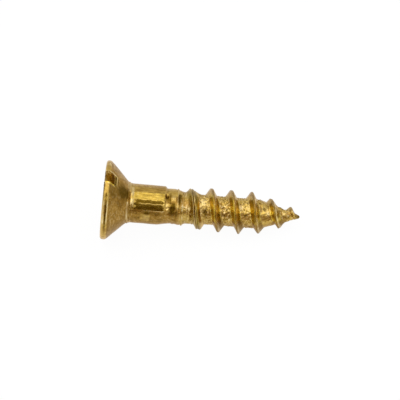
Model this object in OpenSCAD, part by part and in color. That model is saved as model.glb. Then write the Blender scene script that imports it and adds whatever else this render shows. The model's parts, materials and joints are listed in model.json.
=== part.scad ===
// Countersunk wood screw with a straight driver slot, 3.5 x 16 mm, in one piece.
// A brass wire is upset into the head, slotted, and its lower part is rolled into a
// coarse right-hand thread that runs down to a gimlet point.
//
// The screw is drawn upright, with its flat face at z = 0 and its tip at +Z, and is then
// laid on the plane z = 0 as it comes to rest: on the two lower corners of its slot and
// on one thread crest. The slot stands upright and +X points from the head to the tip.

/* [Overall] */
// Length from the flat face to the tip
screw_l = 16; // [14:0.5:20]

/* [Head] */
// Diameter of the head at its edge
head_d = 6.42; // [5.6:0.02:7.8]
// Height of the upright land around the head's edge
land_h = 0.45; // [0.3:0.05:0.6]
// Radius that rounds the flat face into the land
face_edge_r = 0.15; // [0.05:0.05:0.25]
// Whole angle of the countersunk cone
cone_angle = 90; // [82:1:96]
// Radius of the hollow fillet between the cone and the shank
fillet_r = 0.9; // [0.3:0.1:1.1]

/* [Slot] */
// Width of the driver slot
slot_w = 0.95; // [0.7:0.05:1.2]
// Depth of the driver slot below the flat face
slot_depth = 0.95; // [0.6:0.05:1.2]

/* [Shank] */
// Diameter of the plain shank
shank_d = 3.17; // [2.9:0.01:3.8]
// Distance from the flat face to the end of the plain shank
shank_end = 4.97; // [4:0.1:5.2]
// Length of the sloping step from the shank down to the neck
step_l = 0.35; // [0.1:0.05:0.5]
// Diameter of the neck between the shank and the thread
neck_d = 2.83; // [2.5:0.01:2.9]
// Length of the neck between the step and the start of the thread
neck_l = 0.83; // [0.5:0.01:1.5]

/* [Thread] */
// Diameter over the thread crests
major_d = 3.5; // [3.2:0.05:4.2]
// Diameter at the thread root
root_d = 2.34; // [2:0.02:2.4]
// Distance between neighbouring crests
pitch = 1.61; // [1.35:0.01:2]
// Width of the flat on top of a crest
crest_w = 0.14; // [0.06:0.02:0.2]
// Slope of each flank, measured from a plane across the axis
flank_angle = 34; // [28:1:38]
// Distance from the flat face to a crest in line with the upper end of the slot
crest_at = 8.93; // [8:0.01:10]
// Length over which the crests rise from the neck to the full diameter
run_in_l = 2.3; // [1.5:0.1:3]
// Length over which the root falls from the neck to its full depth
root_fall_l = 1.3; // [0.8:0.1:2]

/* [Point] */
// Whole angle of the gimlet point
point_angle = 37; // [30:1:44]
// Diameter of the blunt end of the point
tip_d = 0.2; // [0.1:0.02:0.3]
// Height of the blunt end's low cap
tip_cap_h = 0.06; // [0.02:0.02:0.1]
// Height of the thread above its root along the point
point_thread_h = 0.41; // [0.3:0.01:0.5]
// Length of the point's end that carries no thread
bare_tip_l = 0.3; // [0.1:0.1:0.6]
// Length over which the thread fades out above the bare tip
fade_l = 0.45; // [0.2:0.05:0.8]

/* [Hidden] */
brass = [0.80, 0.64, 0.30];
$fn = 96;

// Head, shank and neck: their outline as [radius, distance from the flat face].
head_r = head_d / 2;
shank_r = shank_d / 2;
neck_r = neck_d / 2;
cone_half = cone_angle / 2;
cone_l = (head_r - shank_r) / tan(cone_half);
arc_steps = 6;
// The fillet touches the shank this far past the cone's own end.
fillet_tangent = fillet_r * tan(cone_half / 2);
neck_end = shank_end + step_l + neck_l;
fillet_centre = [shank_r + fillet_r, land_h + cone_l + fillet_tangent];
face_edge = [for (i = [0:arc_steps]) let (a = 90 * i / arc_steps)
    [head_r - face_edge_r + face_edge_r * sin(a), face_edge_r - face_edge_r * cos(a)]];
fillet = [for (i = [0:arc_steps]) let (a = cone_half * (1 - i / arc_steps))
    fillet_centre + fillet_r * [-cos(a), -sin(a)]];
blank_outline = concat(
    [[0, 0]], face_edge, [[head_r, land_h]], fillet,
    [[shank_r, shank_end], [neck_r, shank_end + step_l], [neck_r, neck_end], [0, neck_end]]);

// Thread: its skin starts inside the neck, this much smaller than the neck.
sides = 40;
skin_gap = 0.04;
skin_start = neck_end - 0.45;
skin_end = screw_l - tip_cap_h;
root_r = root_d / 2;
major_r = major_d / 2;
tip_r = tip_d / 2;
start_root_r = neck_r - 1.5 * skin_gap;
start_crest_r = neck_r - skin_gap;

function clamp01(x) = max(0, min(1, x));
function ease(x) = let (t = clamp01(x)) t * t * (3 - 2 * t);
function mix(a, b, t) = a + (b - a) * t;
// Radius of the bare point at distance s from the flat face.
function point_r(s) = tip_r + (skin_end - s) * tan(point_angle / 2);
function root_at(s) = min(point_r(s), mix(start_root_r, root_r, ease((s - neck_end) / root_fall_l)));
function crest_at_full(s) = min(point_r(s) + point_thread_h,
    mix(start_crest_r, major_r, clamp01((s - neck_end) / run_in_l)));
function thread_h(s) = (crest_at_full(s) - root_at(s)) * clamp01((screw_l - bare_tip_l - s) / fade_l);

// One pitch of the thread as [distance from the crest's middle, share of the height]:
// a flat crest, straight flanks, hollow feet and a plain root.
flank_l = min((major_r - root_r) * tan(flank_angle), (pitch / 2 - crest_w / 2) / 1.5);
flank_side = [for (p = [[0, 1], [0.62, 0.38], [0.95, 0.1], [1.4, 0]])
    [crest_w / 2 + flank_l * p[0], p[1]]];
pitch_rows = concat(
    [for (i = [len(flank_side) - 1:-1:0]) [-flank_side[i][0], flank_side[i][1]]], flank_side);
row_n = len(pitch_rows);

// Rows of points wind around the axis with the thread, so that one row is always the crest.
// Where a row would pass either end of the skin, its points fall on that end's flat ring.
first_turn = floor((skin_start - crest_at) / pitch) - 1;
last_turn = ceil((skin_end - crest_at) / pitch) + 1;
rows = (last_turn - first_turn + 1) * row_n;
function row_s(i, j) = crest_at + pitch * (first_turn + floor(i / row_n) + j / sides)
    + pitch_rows[i % row_n][0];
function row_r(i, s) = root_at(s) + thread_h(s) * pitch_rows[i % row_n][1];
// The angle is counted from the upper end of the slot, which lies at -X.
function on_ring(r, j, s) = [-r * cos(360 * j / sides), -r * sin(360 * j / sides), s];
start_ring = [for (j = [0:sides - 1]) on_ring(start_root_r, j, skin_start)];
end_ring = [for (j = [0:sides - 1]) on_ring(tip_r, j, skin_end)];
row_points = [for (i = [0:rows - 1]) for (j = [0:sides - 1]) let (s = row_s(i, j))
    on_ring(row_r(i, max(skin_start, min(skin_end, s))), j, s)];
skin_points = concat(start_ring, end_ring, row_points, [[0, 0, skin_start], [0, 0, screw_l]]);
start_centre = len(skin_points) - 2;
tip_centre = len(skin_points) - 1;

// Number of the point at row i and side j; side number `sides` is side 0 one turn later.
function point_id(i, j) =
    j == sides ? point_id(i + row_n, 0) :
    row_s(i, j) <= skin_start ? j :
    row_s(i, j) >= skin_end ? sides + j :
    2 * sides + i * sides + j;
function is_face(f) = f[0] != f[1] && f[1] != f[2] && f[2] != f[0];
skin_faces = concat(
    [for (i = [0:rows - 2]) for (j = [0:sides - 1]) let (
        a = point_id(i, j), b = point_id(i, j + 1),
        c = point_id(i + 1, j + 1), d = point_id(i + 1, j))
        each [for (f = [[a, d, c], [a, c, b]]) if (is_face(f)) f]],
    [for (j = [0:sides - 1]) [start_centre, j, (j + 1) % sides]],
    [for (j = [0:sides - 1]) [tip_centre, sides + (j + 1) % sides, sides + j]]);

// Rest: the head stands on the slot's two lower corners at the foot of the land, and the
// screw tips down until the first point of the thread's skin meets the plane.
corner_r = sqrt(head_r * head_r - slot_w * slot_w / 4);
rest_slope = min([for (p = row_points) if (p[2] > skin_start && p[2] < skin_end)
    (corner_r - p[0]) / (p[2] - land_h)]);
rest_tilt = atan(rest_slope);
rest_up = corner_r * cos(rest_tilt) + land_h * sin(rest_tilt);
// Ends of the lying screw along X, to put the origin under the middle of its length.
back_x = min([for (p = face_edge) if (p[0] > slot_w / 2)
    p[1] * cos(rest_tilt) - sqrt(p[0] * p[0] - slot_w * slot_w / 4) * sin(rest_tilt)]);
front_x = max(concat([screw_l * cos(rest_tilt)],
    [for (p = end_ring) p[2] * cos(rest_tilt) - p[0] * sin(rest_tilt)]));

module blank() color(brass) rotate_extrude() polygon(blank_outline);

module thread() color(brass) polyhedron(skin_points, skin_faces, convexity = 8);

module driver_slot() color(brass)
    translate([-head_d, -slot_w / 2, -slot_depth]) cube([2 * head_d, slot_w, 2 * slot_depth]);

module screw() translate([-(back_x + front_x) / 2, 0, rest_up]) rotate([0, 90 + rest_tilt, 0])
    difference() {
        union() {
            blank();
            thread();
        }
        driver_slot();
    }

screw();
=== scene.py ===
"""Looks of a slotted countersunk wood screw, rolled from one brass wire, lying on a pale table."""
import json
import math

import bmesh
import bpy
import numpy as np
from mathutils import Matrix, Vector


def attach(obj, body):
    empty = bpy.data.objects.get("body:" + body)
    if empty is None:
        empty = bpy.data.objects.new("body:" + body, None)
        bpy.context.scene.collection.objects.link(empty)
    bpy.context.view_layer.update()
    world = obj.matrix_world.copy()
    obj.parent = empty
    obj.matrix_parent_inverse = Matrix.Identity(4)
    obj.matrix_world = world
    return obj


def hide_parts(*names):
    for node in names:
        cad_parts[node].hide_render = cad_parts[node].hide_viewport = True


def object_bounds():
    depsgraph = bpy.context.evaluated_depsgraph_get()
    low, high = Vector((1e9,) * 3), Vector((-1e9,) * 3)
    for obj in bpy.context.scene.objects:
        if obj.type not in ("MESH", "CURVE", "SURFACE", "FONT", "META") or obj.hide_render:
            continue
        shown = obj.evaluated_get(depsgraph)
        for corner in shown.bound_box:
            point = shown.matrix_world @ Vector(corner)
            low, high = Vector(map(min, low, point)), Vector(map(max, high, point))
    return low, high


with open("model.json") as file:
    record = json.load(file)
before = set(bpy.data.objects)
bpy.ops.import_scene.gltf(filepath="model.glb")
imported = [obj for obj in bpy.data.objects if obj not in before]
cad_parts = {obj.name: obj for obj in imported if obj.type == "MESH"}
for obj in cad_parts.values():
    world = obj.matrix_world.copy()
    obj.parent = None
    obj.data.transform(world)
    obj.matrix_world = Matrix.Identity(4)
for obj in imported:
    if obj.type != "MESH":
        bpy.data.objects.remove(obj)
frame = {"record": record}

cad_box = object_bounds()
MM = 0.001
rng = np.random.default_rng(16)

# ---- Sizes in millimetres: first those that the part's source has too. Distances are counted
# from the face along the axis ----
SCREW_L = 16.0
HEAD_R = 3.21
LAND_H = 0.45
SLOT_W = 0.95
SLOT_DEPTH = 0.95
FILLET_R = 0.9
SHANK_R = 1.585
SHANK_END = 4.97
NECK_R = 1.415
ROOT_R = 1.17
CREST_R = 1.75
PITCH = 1.61
CREST_AT = 8.93
POINT_SLOPE = math.tan(math.radians(18.5))
POINT_THREAD_H = 0.41
BARE_TIP_L = 0.3

# Then those that only the skin has, or has a little different.
FACE_EDGE_R = 0.21
LAND_SOFTNESS = 0.04
WAIST_R = 1.27
FADE_L = 0.42
TIP_R = 0.11
TIP_CAP = 0.07

# Marks in both the shape and the finish: angles round the screw in degrees, and round pits as
# (distance, angle, size along, size around).
LAND_GROOVE_AT = 52.0
LONG_FLAT_AT = 12.5
SHORT_FLAT_AT = 82.0
UPPER_PIT = (9.82, 28.0, 0.17, 0.15)
LOWER_PIT = (13.12, 14.0, 0.15, 0.13)

# ---- Where the screw lies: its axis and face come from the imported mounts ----
mounts = {m["name"]: m for m in frame["record"]["mounts"]}
AXIS = Vector(mounts["countersunk_seat"]["axis"]).normalized()
FACE = Vector(mounts["countersunk_seat"]["pos_m"]) - AXIS * LAND_H * MM
SIDE = Vector((0, -1, 0))
UP = SIDE.cross(AXIS).normalized()
TILT = math.atan2(-AXIS.z, AXIS.x)

# The head was struck a little off the wire's middle, and the thread rolled a little off it on
# the other side. Angles around the screw are counted from the slot's upper end, right-handed.
OFF_CENTRE_AT = -53.5
HEAD_OFF = 0.07
THREAD_OFF = -0.045
FACE_TILT = 0.075

# ---- Mesh density: straight rows up to WOUND_FROM, then rows wound with the thread ----
COLUMNS = 208
FACE_RINGS = 16
FACE_HUB_R = 0.15
EDGE_RINGS = 9
EDGE_ARC_DEG = 84
BLEND_FROM = 5.2
WOUND_FROM = 5.62
ROW_SPANS = ((FACE_EDGE_R, 0.62, 15), (0.62, 1.9, 30), (1.9, 2.7, 34), (2.7, 4.9, 44))
LAST_SPAN = (4.9, WOUND_FROM, 24)
ROWS_PER_PITCH = 44
CREST_CROWDING = 0.08
END_MARGIN = 0.004


def smooth(x):
    """0 below 0, 1 above 1, and an even curve between."""
    t = np.clip(x, 0.0, 1.0)
    return t * t * (3 - 2 * t)


def window(x, low, high, soft):
    """1 between low and high, fading to 0 over soft on each side."""
    return smooth((x - low) / soft + 0.5) * smooth((high - x) / soft + 0.5)


def soft_floor(x, k):
    """x above 0 and 0 below it, with a rounded corner of size k."""
    return k * np.logaddexp(0.0, x / k)


def ridge(x, wide, height):
    """A ridge along x = 0, or a groove where height is below 0."""
    return height * np.exp(-((x / wide) ** 2))


def turned(psi, at_deg):
    """Angle from at_deg to psi, in degrees from -180 to 180."""
    return (np.degrees(psi) - at_deg + 180.0) % 360.0 - 180.0


def sector(psi, at_deg, low, high, soft):
    """1 in a strip of angles, from low to high degrees past at_deg, fading over soft degrees."""
    return window(turned(psi, at_deg), low, high, soft)


def off_side(psi):
    """1 on the side that the head was struck towards, and -1 on the other."""
    return np.cos(np.radians(turned(psi, OFF_CENTRE_AT)))


def waves(s, psi, count, around, length, height):
    """Random waves: around and length are the ranges of their count round it and length along."""
    total = np.zeros(np.broadcast(s, psi).shape)
    for _ in range(count):
        m = rng.integers(around[0], around[1] + 1)
        k = 2 * math.pi / rng.uniform(*length)
        phase = rng.uniform(0, 2 * math.pi)
        sign = rng.choice((-1, 1))
        total += np.sin(sign * m * psi + k * s + phase)
    return total * height / math.sqrt(count)


def wire_radius(s):
    """Rough radius of the screw at s, for turning angles into lengths."""
    return np.interp(s, (0.45, 2.1, 5.0, 7.0, 12.8, 16.0), (3.2, 1.6, 1.55, 1.3, 1.3, 0.3))


def from_spot(s, psi, distance, angle, along, around):
    """How far along and around from a place, in sizes of the mark that is there."""
    u = (s - distance) / along
    v = np.radians(turned(psi, angle)) * wire_radius(distance) / around
    return u, v


def spot(s, psi, distance, angle, along, around, height):
    """A bump, or a dent where height is below 0."""
    u, v = from_spot(s, psi, distance, angle, along, around)
    return height * np.exp(-(u * u + v * v))


def with_spots(out, s, psi, table):
    """Add a table of spots to out."""
    for row in table:
        out = out + spot(s, psi, *row)
    return out


def ring_share(s, psi, pit, low, high):
    """1 in an oval ring round a pit, between low and high times its size."""
    return window(np.hypot(*from_spot(s, psi, *pit)), low, high, 0.3)


# ---- The upset and turned blank: head, cone, fillet, shank, step and neck ----
CONE_END = LAND_H + HEAD_R - SHANK_R
FILLET_IN = FILLET_R * math.tan(math.radians(22.5))


def blank_radius(s, psi):
    """Radius of the smooth blank at distance s from the face, from the face's rounded edge on."""
    cone = HEAD_R - soft_floor(s - LAND_H, LAND_SOFTNESS)
    centre = CONE_END + FILLET_IN
    inside = np.clip(FILLET_R ** 2 - np.clip(centre - s, 0, FILLET_R) ** 2, 0, None)
    fillet = SHANK_R + FILLET_R - np.sqrt(inside)
    start = centre - FILLET_R * math.sin(math.radians(45))
    gentle = 1 - sector(psi, -10, -70, 68, 30)
    fall = smooth((s - SHANK_END + 0.6 * gentle) / (0.22 + 0.9 * gentle))
    shank = SHANK_R + (NECK_R - SHANK_R) * fall
    return np.where(s < start, cone, np.where(s < centre, fillet, shank))


def land_marks(s, psi):
    """The land's thin, tapering groove, between its two bright edges."""
    return ridge(s - 0.27, 0.05, -0.03) * sector(psi, LAND_GROOVE_AT, -24, 20, 10)


def slot_lips(s, psi, rho):
    """Burrs that the saw pushed up beside the slot and at the foot of its open ends."""
    across = rho * np.sin(psi)
    beside = (np.abs(across) - SLOT_W / 2) / 0.05
    ragged = 0.65 + 0.35 * np.sin(19 * rho + 7 * s + 2 * np.sign(across))
    lip = 0.035 * np.exp(-beside * beside) * ragged * smooth((1.25 - s) / 0.3)
    foot_wide = smooth((SLOT_W / 2 + 0.1 - np.abs(across)) / 0.12)
    uneven = 0.55 + 0.45 * np.sin(13 * across + 1.0) * np.sin(31 * across)
    foot = uneven * ridge(s - SLOT_DEPTH - 0.13, 0.03, 0.045)
    foot += ridge(s - SLOT_DEPTH - 0.2, 0.03, -0.03)
    return lip, foot * foot_wide


# Dents and bumps, each (distance, angle, size along, size around, height).
CONE_DENTS = (
    (0.42, -27, 0.08, 0.12, 0.1),
    (0.56, -28, 0.07, 0.12, -0.08),
    (0.8, -17, 0.1, 0.08, 0.05),
    (0.75, 11, 0.08, 0.14, -0.05),
    (0.7, 22, 0.12, 0.2, -0.03),
)


def cone_marks(s, psi):
    """Low waves, dents and fine turning lines on the cone."""
    on_cone = window(s, 0.6, 1.9, 0.3)
    out = on_cone * waves(s, psi, 10, (1, 5), (0.8, 2.5), 0.01)
    out += on_cone * waves(s, psi, 8, (10, 30), (0.3, 0.9), 0.003)
    return with_spots(out, s, psi, CONE_DENTS)


def fillet_marks(s, psi):
    """Steps that the tool left where the cone runs into the shank."""
    out = ridge(s - 1.99, 0.045, -0.05) * (0.4 + 0.6 * sector(psi, 10, -20, 22, 14))
    out += ridge(s - 2.09, 0.04, 0.04)
    out += ridge(s - 2.2, 0.04, -0.045) * sector(psi, 30, -30, 20, 14)
    out += ridge(s - 2.36, 0.06, 0.03) * sector(psi, 24, -24, 20, 10)
    out += ridge(s - 2.54, 0.04, -0.035) * sector(psi, 34, -12, 14, 8)
    out += spot(s, psi, 2.42, 52.0, 0.22, 0.16, -0.05)
    return out * window(s, 1.9, 2.6, 0.1)


def flat(psi, radius, at_deg, half_deg):
    """How far a flat facet lies below the round wire; 0 outside the facet."""
    angle = np.radians(np.clip(turned(psi, at_deg), -60, 60))
    return np.minimum(radius * (math.cos(math.radians(half_deg)) / np.cos(angle) - 1), 0)


# Fine lines along the long flat, each (angle, width, height).
SHANK_LINES = ((1.5, 1.3, 0.016), (8.5, 1.0, -0.006), (13, 1.2, 0.005), (19, 1.0, -0.006))
SHANK_DENTS = (
    (3.02, 83, 0.09, 0.12, -0.055),
    (3.05, 63, 0.09, 0.12, 0.03),
    (3.65, 64, 0.18, 0.12, -0.035),
    (4.4, 66, 0.35, 0.1, -0.025),
    (4.6, 58, 0.2, 0.08, -0.02),
    (4.2, 95, 0.3, 0.16, -0.025),
    (2.62, 40, 0.14, 0.22, -0.03),
    (2.8, 12, 0.1, 0.16, -0.012),
    (3.7, 8, 0.16, 0.1, -0.01),
)


def shank_marks(s, psi):
    """Flats, the long groove with its raised lip, and the dents that the rolling dies left."""
    on_shank = window(s, 2.5, 4.95, 0.2)
    out = on_shank * waves(s, psi, 10, (2, 9), (1.2, 5.0), 0.006)
    out += on_shank * waves(s, psi, 8, (12, 30), (0.5, 2.0), 0.002)
    ragged_edge = 0.8 * np.sin(7.1 * s) + 0.6 * np.sin(17.3 * s + 1.0) + 0.5 * np.sin(31.0 * s)
    out += window(s, 2.45, 5.3, 0.15) * flat(psi, SHANK_R, LONG_FLAT_AT, 11.5)
    groove_reach = window(s, 2.9, 5.05, 0.5)
    at = turned(psi, 0)
    upper = np.interp(at + ragged_edge, (24.0, 25.0, 33.4), (0.0, -0.008, -0.026))
    lower = np.interp(at + 0.4 * ragged_edge, (33.6, 35.2, 35.8, 38.5), (0.0, 0.028, 0.028, 0.026))
    out += groove_reach * (upper + lower)
    for line_at, wide, height in SHANK_LINES:
        out += window(s, 2.5, 5.0, 0.2) * ridge(turned(psi, line_at), wide, height)
    out += window(s, 3.2, 5.0, 0.3) * ridge(turned(psi, 55), 1.8, 0.02)
    out += window(s, 3.15, 3.9, 0.12) * flat(psi, SHANK_R, SHORT_FLAT_AT, 15.0)
    return with_spots(out, s, psi, SHANK_DENTS)


NECK_DENTS = (
    (5.2, 4, 0.12, 0.22, -0.1),
    (5.0, 18, 0.1, 0.14, -0.04),
    (5.26, 52, 0.13, 0.14, 0.09),
    (5.17, 41, 0.1, 0.12, 0.06),
    (5.35, 28, 0.1, 0.14, -0.05),
    (5.68, 10, 0.14, 0.2, 0.045),
    (5.55, 30, 0.14, 0.12, -0.04),
    (5.7, 51, 0.2, 0.24, -0.085),
    (5.45, 62, 0.2, 0.14, -0.04),
)


def neck_marks(s, psi):
    """The torn step, the wavy neck and the ridge where the rolling ran out."""
    on_neck = window(s, 5.15, 6.3, 0.3)
    out = on_neck * waves(s, psi, 9, (2, 5), (0.6, 1.4), 0.012)
    out += on_neck * waves(s, psi, 8, (6, 18), (0.4, 0.8), 0.003)
    out += ridge(s - 5.75, 0.18, 0.022)
    return with_spots(out, s, psi, NECK_DENTS)


def blank_marks(s, psi):
    """All marks of the head, shank and neck."""
    return cone_marks(s, psi) + fillet_marks(s, psi) + shank_marks(s, psi) + neck_marks(s, psi)


# ---- The rolled thread ----
def thread_radius(s, psi, t):
    """Radius of the rolled part; t is the distance past the nearest crest's middle."""
    crest_s = s - t
    point = TIP_R + (SCREW_L - TIP_CAP - s) * POINT_SLOPE
    body_root = NECK_R + (WAIST_R - NECK_R) * smooth((s - 6.19 + 0.17 * off_side(psi)) / 0.45)
    body_root = body_root + (ROOT_R - WAIST_R) * smooth(s - 7.3)
    root = np.minimum(body_root, point)
    rise = np.interp(crest_s, (6.1, 7.08, 7.89, 8.55), (NECK_R, 1.555, 1.61, CREST_R))
    crest = np.minimum(rise, point + POINT_THREAD_H)
    fade = np.clip((SCREW_L - BARE_TIP_L - s) / FADE_L, 0, 1)
    height = np.clip(crest - root, 0, None) * fade
    # Each flank has a run and a foot. The first turn is blunt, and the last ones lean towards the
    # point. Left is towards the head.
    upper = 0.5 + 0.5 * off_side(psi)
    first = smooth((8.4 - crest_s) / 0.5)
    last = smooth((crest_s - 12.8) / 0.6)
    left_run = 0.36 - 0.14 * first - 0.1 * last
    early = window(crest_s, 8.3, 10.9, 0.6)
    left_foot = 0.385 + 0.03 * upper + 0.05 * first * (1 - upper) - 0.085 * last + 0.055 * early
    right_run = 0.365 + first * (0.35 * upper ** 3 - 0.16) + 0.05 * last
    right_foot = 0.395 + 0.045 * upper + first * (0.2 * upper ** 3 - 0.02) + 0.06 * last
    run = np.where(t < 0, left_run, right_run)
    foot = np.where(t < 0, left_foot, right_foot)
    x = np.clip((foot - np.abs(t)) / run, -1.0, 3.0)
    share = soft_floor(x, 0.06)
    share = 1.0 - soft_floor(1.0 - share, 0.035)
    return root + height * np.clip(share, 0, None) ** 1.12


def first_turn_folds(s, psi, t):
    """The first turn is a pack of thin folds, pressed against each other."""
    crest_s = s - t
    folded = window(crest_s, 6.6, 8.1, 0.5)
    spread = 1 + 0.5 * smooth(turned(psi, 10) / 116.0)
    out = ridge(t + 0.38, 0.035, 0.025)
    out += ridge(t + 0.26, 0.06, -0.035)
    out += ridge(t + 0.13 * spread, 0.03, 0.055)
    out += ridge(t + 0.07, 0.028, -0.045)
    out += ridge(t - 0.04 * spread, 0.04, 0.04)
    out += ridge(t - 0.19, 0.045, -0.035)
    out += ridge(t - 0.29, 0.03, 0.02)
    return out * folded * (0.8 + 0.2 * np.sin(3 * psi + 9 * t))


def run_out_marks(s, psi):
    """The ridge where the thread runs out on the neck, and the valley beside it."""
    line = 6.02 + 0.42 * (turned(psi, OFF_CENTRE_AT) / 180.0) ** 2
    front = sector(psi, 62, -40, 50, 20)
    out = ridge(s - line - 0.03, 0.045, 0.055) * (1 - 0.75 * front)
    out += ridge(s - line + 0.09, 0.04, -0.025)
    depth = 0.03 + 0.05 * sector(psi, 8, -18, 20, 14)
    return out - ridge(s - line - 0.17, 0.07, depth)


THREAD_DENTS = (
    (8.27, 47, 0.15, 0.26, -0.085),
    (7.9, 10, 0.16, 0.22, 0.015),
    (9.82, 28, 0.12, 0.1, -0.045),
    (10.1, 36, 0.05, 0.12, -0.05),
    (9.82, 56, 0.22, 0.13, -0.04),
    (11.6, 49, 0.2, 0.13, -0.04),
    (11.25, 30, 0.08, 0.07, -0.035),
    (11.4, 12, 0.18, 0.2, 0.015),
    (12.62, -28, 0.1, 0.14, 0.08),
    (12.68, -12, 0.07, 0.1, -0.08),
    (12.85, -4, 0.12, 0.12, 0.04),
    (13.12, 14, 0.16, 0.15, -0.06),
    (13.38, 35, 0.18, 0.2, 0.02),
    (14.28, 30, 0.09, 0.24, -0.04),
    (14.46, 20, 0.035, 0.3, 0.03),
    (15.0, 60, 0.05, 0.2, -0.04),
)


def thread_marks(s, psi, t):
    """Wrinkles, pits and nicks on the rolled part."""
    out = waves(s, psi, 8, (2, 7), (1.0, 3.0), 0.007)
    in_root = smooth((np.abs(t) - 0.32) / 0.15)
    calm = 1 - 0.7 * window(s, 12.75, 13.75, 0.25)
    grain = waves(s, psi, 16, (8, 26), (0.2, 0.7), 0.021)
    out += calm * in_root * grain * window(s, 7.4, 15.2, 0.3)
    waist = window(t, -1.05, -0.4, 0.15) * window(s - t, 6.3, 8.1, 0.3)
    out += waist * waves(s, psi, 14, (0, 4), (0.16, 0.36), 0.026)
    ragged = window(s, 14.4, 15.9, 0.4)
    out += ragged * waves(s, psi, 10, (2, 6), (0.3, 0.9), 0.03)
    out = with_spots(out, s, psi, THREAD_DENTS)
    out += 0.035 * ring_share(s, psi, UPPER_PIT, 0.95, 1.35)
    out += 0.02 * ring_share(s, psi, LOWER_PIT, 1.0, 1.4)
    return out


def crest_line(psi):
    """Distance from the face to a crest at angle psi."""
    return CREST_AT + PITCH * psi / (2 * math.pi)


def from_crest(s, psi):
    """Distance along the axis past the nearest crest's middle; the crests lag a little."""
    late = np.interp(s, (8.0, 12.5, 14.3, 15.1), (0.03, 0.045, 0.07, 0.13))
    return (s - late - crest_line(psi) + PITCH / 2) % PITCH - PITCH / 2


def full_turns(s, t, end=15.0):
    """1 on the turns of full height, fading out at their ends."""
    return window(s - t, 8.3, end, 0.4)


def late_turns(s, t):
    """1 on the last turns, by the point."""
    return smooth((s - t - 12.0) / 0.5)


def first_turn(s, t):
    """1 on the low first turn."""
    return window(s - t, 6.7, 8.2, 0.4) * window(s, 6.4, 8.6, 0.2)


def rolled_radius(s, psi):
    """Radius of the rolled part with its marks."""
    t = from_crest(s, psi)
    marks = thread_marks(s, psi, t) + first_turn_folds(s, psi, t) + run_out_marks(s, psi)
    return np.maximum(thread_radius(s, psi, t) + marks, 0.4 * TIP_R)


# ---- The skin ----
def placed(along_up, along_side, along):
    """Points in metres in the part's frame, from millimetres along the screw's directions."""
    up, side, axis, face = (np.array(v) for v in (UP, SIDE, AXIS, FACE))
    return face + MM * (along_up[..., None] * up + along_side[..., None] * side
                        + along[..., None] * axis)


def off_centre(s):
    """How far the screw's middle lies from its axis, towards OFF_CENTRE_AT."""
    head = HEAD_OFF * (1 - smooth((s - 0.9) / 1.4))
    thread = THREAD_OFF * smooth((s - 6.0) / 0.8) * (1 - smooth((s - 12.8) / 2.4))
    return head + thread


def to_world(rho, s, psi):
    """Points of the skin from radius, distance and angle, none below the table."""
    rho, s, psi = np.broadcast_arrays(rho, s, psi)
    shift = off_centre(s)
    at = math.radians(OFF_CENTRE_AT)
    along_up = rho * np.cos(psi) + shift * math.cos(at)
    along_side = rho * np.sin(psi) + shift * math.sin(at)
    points = placed(along_up, along_side, s)
    points[..., 2] = np.maximum(points[..., 2], cad_box[0].z)
    return points


def face_rows():
    """The flat face and its rounded edge, as rows of (radius, distance)."""
    centre = HEAD_R - FACE_EDGE_R
    level = [(r, 0.0) for r in np.linspace(FACE_HUB_R, centre, FACE_RINGS, endpoint=False)]
    turns = np.radians(np.linspace(0, EDGE_ARC_DEG, EDGE_RINGS))
    edge = [(centre + FACE_EDGE_R * math.sin(a), FACE_EDGE_R * (1 - math.cos(a))) for a in turns]
    return np.array(level + edge)


def body_rows():
    """Distances of the straight rows from the land to the neck."""
    rows = [np.linspace(low, high, count, endpoint=False) for low, high, count in ROW_SPANS]
    return np.concatenate(rows + [np.linspace(*LAST_SPAN)])


def straight_skin(psi):
    """Radius and distance of every point from the face's middle to the neck."""
    rim = face_rows()
    body_s = body_rows()
    angle = psi[None, :]
    rim_r = rim[:, :1] + 0 * angle
    rim_s = rim[:, 1:] + 0 * angle
    lip, _ = slot_lips(rim_s, angle, rim_r)
    edge_share = smooth(rim_s / FACE_EDGE_R)
    rim_s = rim_s - lip * (1 - edge_share)
    rim_r = rim_r + lip * edge_share
    s = body_s[:, None] + 0 * angle
    r = blank_radius(s, angle)
    lip, foot = slot_lips(s, angle, r)
    joined = smooth((s - BLEND_FROM) / (WOUND_FROM - BLEND_FROM))
    r = r + lip + foot + land_marks(s, angle) + blank_marks(s, angle) * (1 - joined)
    r = r * (1 - joined) + (rolled_radius(s, angle) + neck_marks(s, angle)) * joined
    r = np.vstack([rim_r, r])
    s = np.vstack([rim_s, s])
    lean = FACE_TILT * 0.5 * (1 + off_side(angle) * r / HEAD_R)
    return r, s + lean * (1 - smooth(s / 0.35))


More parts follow.
